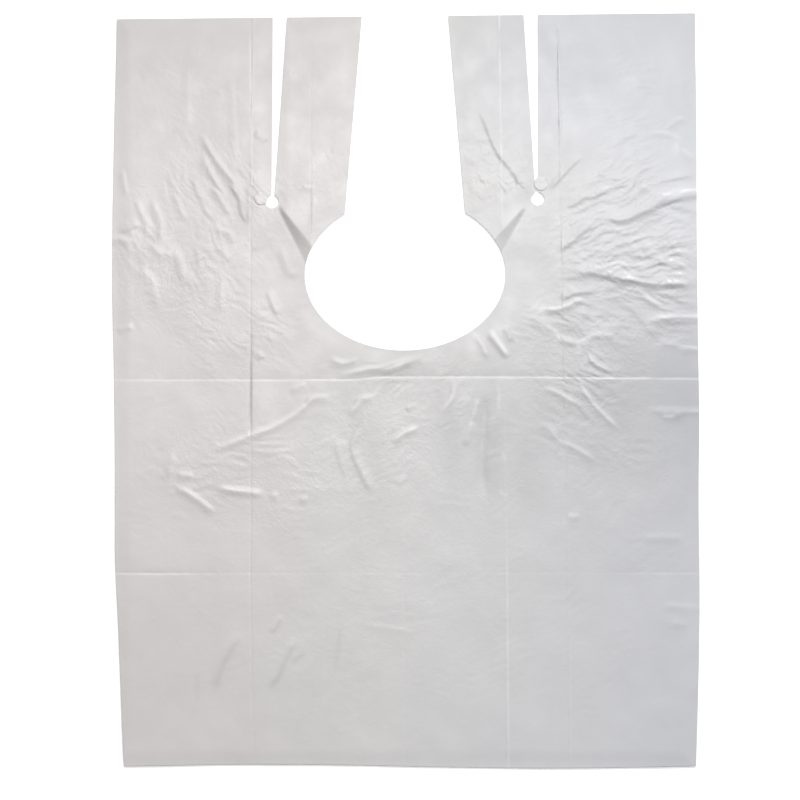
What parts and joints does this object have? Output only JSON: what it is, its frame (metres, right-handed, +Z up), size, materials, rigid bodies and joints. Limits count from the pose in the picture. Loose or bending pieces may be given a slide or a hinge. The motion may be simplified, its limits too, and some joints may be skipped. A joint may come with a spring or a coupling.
{
  "type": "barber cape",
  "caption": "Disposable thin-film salon cape laid flat, with an oval neck opening, tie straps cut by slits with punched ends, and factory fold creases.",
  "frame": {"origin": "centre of the cape's outline, on the surface that it lies on", "axes": "+Z up out of the film, +Y from the hem to the ends of the tie straps, +X across the cape"},
  "size_m": [0.9, 1.162, 0.0005],
  "materials": {
    "film": "thin, soft, slightly cloudy polyethylene film with a satin sheen, creased from packing"
  },
  "bodies": {
    "chest": {"chest_centre": "film", "left_strap_root": "film", "left_chest_inner": "film", "left_chest_outer": "film", "right_strap_root": "film", "right_chest_inner": "film", "right_chest_outer": "film"},
    "lap": {"lap_centre": "film", "left_lap_inner": "film", "left_lap_outer": "film", "right_lap_inner": "film", "right_lap_outer": "film"},
    "hem": {"hem_centre": "film", "left_hem_inner": "film", "left_hem_outer": "film", "right_hem_inner": "film", "right_hem_outer": "film"},
    "left_tie": {"left_tie_outer": "film", "left_tie_inner": "film"},
    "left_shoulder": {"left_shoulder_outer": "film", "left_shoulder_inner": "film"},
    "right_tie": {"right_tie_outer": "film", "right_tie_inner": "film"},
    "right_shoulder": {"right_shoulder_outer": "film", "right_shoulder_inner": "film"}
  },
  "joints": [
    {"name": "lap_fold", "type": "hinge", "parent": "chest", "child": "lap", "pos_m": [0, 0.019, 0.0005], "axis": [-1, 0, 0], "range_deg": [0, 115]},
    {"name": "hem_fold", "type": "hinge", "parent": "lap", "child": "hem", "pos_m": [0, -0.281, 0.0005], "axis": [-1, 0, 0], "range_deg": [0, 115]},
    {"name": "left_tie_fold", "type": "hinge", "parent": "chest", "child": "left_tie", "pos_m": [-0.14, 0.319, 0.0005], "axis": [1, 0, 0], "range_deg": [0, 165]},
    {"name": "left_shoulder_fold", "type": "hinge", "parent": "chest", "child": "left_shoulder", "pos_m": [-0.33, 0.319, 0.0005], "axis": [1, 0, 0], "range_deg": [0, 165]},
    {"name": "right_tie_fold", "type": "hinge", "parent": "chest", "child": "right_tie", "pos_m": [0.14, 0.319, 0.0005], "axis": [1, 0, 0], "range_deg": [0, 165]},
    {"name": "right_shoulder_fold", "type": "hinge", "parent": "chest", "child": "right_shoulder", "pos_m": [0.33, 0.319, 0.0005], "axis": [1, 0, 0], "range_deg": [0, 165]}
  ]
}
